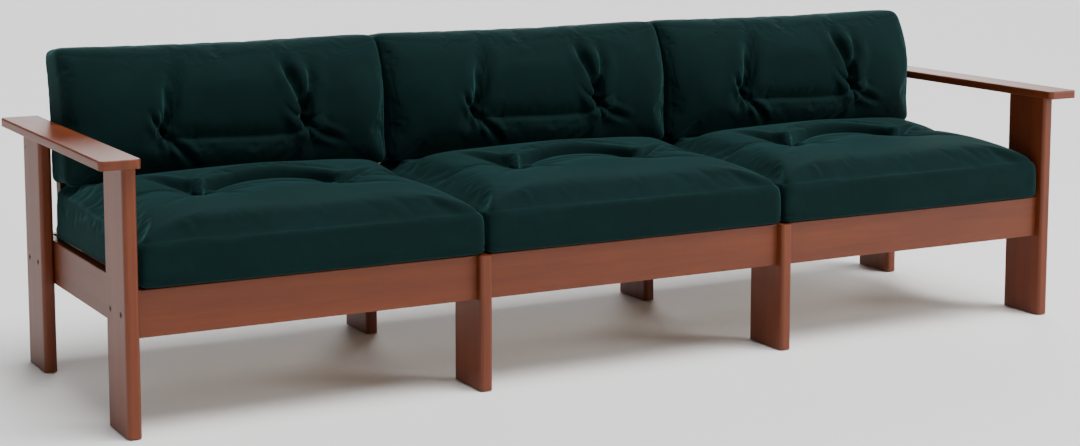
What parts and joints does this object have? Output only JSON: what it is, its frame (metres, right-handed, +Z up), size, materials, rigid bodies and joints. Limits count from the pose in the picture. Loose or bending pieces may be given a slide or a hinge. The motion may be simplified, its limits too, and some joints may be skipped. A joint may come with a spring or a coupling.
{
  "type": "futon sofa bed",
  "caption": "Long low plank-frame sofa with tufted seat and back cushions, flat armrests on tall end legs, and slatted backs that fold down level to make a bed.",
  "frame": {"origin": "on the floor under the centre of the sofa's outer box, with the backs upright", "axes": "+X along the length to the right seen from the front, -Y to the front, +Z up"},
  "size_m": [2.538, 0.784, 0.7528],
  "materials": {
    "stained_wood": "satin reddish-brown stain over straight grain",
    "beech": "oiled pale hardwood",
    "cover": "dark teal short-pile velvet",
    "black_steel": "black oxide",
    "zinc": "zinc-plated",
    "bracket": "black powder coat",
    "washer": "nylon",
    "glide": "moulded"
  },
  "bodies": {
    "frame": {"leg_front_left": "stained_wood", "leg_rear_left": "stained_wood", "leg_front_right": "stained_wood", "leg_rear_right": "stained_wood", "mid_leg_front_1": "stained_wood", "mid_leg_front_2": "stained_wood", "mid_leg_rear_1": "stained_wood", "mid_leg_rear_2": "stained_wood", "armrest_left": "stained_wood", "armrest_right": "stained_wood", "front_rail_1": "stained_wood", "front_rail_2": "stained_wood", "front_rail_3": "stained_wood", "rear_rail_1": "stained_wood", "rear_rail_2": "stained_wood", "rear_rail_3": "stained_wood", "side_rail_1_left": "stained_wood", "side_rail_1_right": "stained_wood", "side_rail_2_left": "stained_wood", "side_rail_2_right": "stained_wood", "side_rail_3_left": "stained_wood", "side_rail_3_right": "stained_wood", "seat_slats_1": "beech", "seat_slats_2": "beech", "seat_slats_3": "beech", "slat_cleats_front": "beech", "slat_cleats_rear": "beech", "slat_screws": "zinc", "cleat_screws": "zinc", "rail_bolts": "black_steel", "barrel_nuts": "black_steel", "side_rail_bolts": "black_steel", "side_rail_nuts": "zinc", "rail_dowels": "beech", "armrest_dowels": "beech", "armrest_studs": "zinc", "leg_glides": "glide", "hinge_brackets": "bracket", "hinge_screws": "zinc", "hinge_pins": "zinc", "hinge_washers": "washer", "pin_clips": "black_steel", "seat_cushion_1": "cover", "seat_cushion_2": "cover", "seat_cushion_3": "cover"},
    "back_1": {"back_stile_1_left": "stained_wood", "back_stile_1_right": "stained_wood", "back_top_rail_1": "stained_wood", "back_slats_1": "stained_wood"},
    "back_2": {"back_stile_2_left": "stained_wood", "back_stile_2_right": "stained_wood", "back_top_rail_2": "stained_wood", "back_slats_2": "stained_wood"},
    "back_3": {"back_stile_3_left": "stained_wood", "back_stile_3_right": "stained_wood", "back_top_rail_3": "stained_wood", "back_slats_3": "stained_wood"},
    "cushion_back_1": {"back_cushion_1": "cover"},
    "cushion_back_2": {"back_cushion_2": "cover"},
    "cushion_back_3": {"back_cushion_3": "cover"}
  },
  "joints": [
    {"name": "back_1_fold", "type": "hinge", "parent": "frame", "child": "back_1", "pos_m": [-0.8, 0.301, 0.3215], "axis": [-1, 0, 0], "range_deg": [0, 84]},
    {"name": "back_1_cushion_slide", "type": "slide", "parent": "back_1", "child": "cushion_back_1", "axis": [0, -0.1045, -0.9945], "range_m": [0, 0.114]},
    {"name": "back_2_fold", "type": "hinge", "parent": "frame", "child": "back_2", "pos_m": [0, 0.301, 0.3215], "axis": [-1, 0, 0], "range_deg": [0, 84]},
    {"name": "back_2_cushion_slide", "type": "slide", "parent": "back_2", "child": "cushion_back_2", "axis": [0, -0.1045, -0.9945], "range_m": [0, 0.114]},
    {"name": "back_3_fold", "type": "hinge", "parent": "frame", "child": "back_3", "pos_m": [0.8, 0.301, 0.3215], "axis": [-1, 0, 0], "range_deg": [0, 84]},
    {"name": "back_3_cushion_slide", "type": "slide", "parent": "back_3", "child": "cushion_back_3", "axis": [0, -0.1045, -0.9945], "range_m": [0, 0.114]}
  ],
  "couplings": [
    {"joint": "back_1_cushion_slide", "follows": "back_1_fold", "m_per_rad": 0.07639},
    {"joint": "back_2_cushion_slide", "follows": "back_2_fold", "m_per_rad": 0.07639},
    {"joint": "back_3_cushion_slide", "follows": "back_3_fold", "m_per_rad": 0.07639}
  ]
}
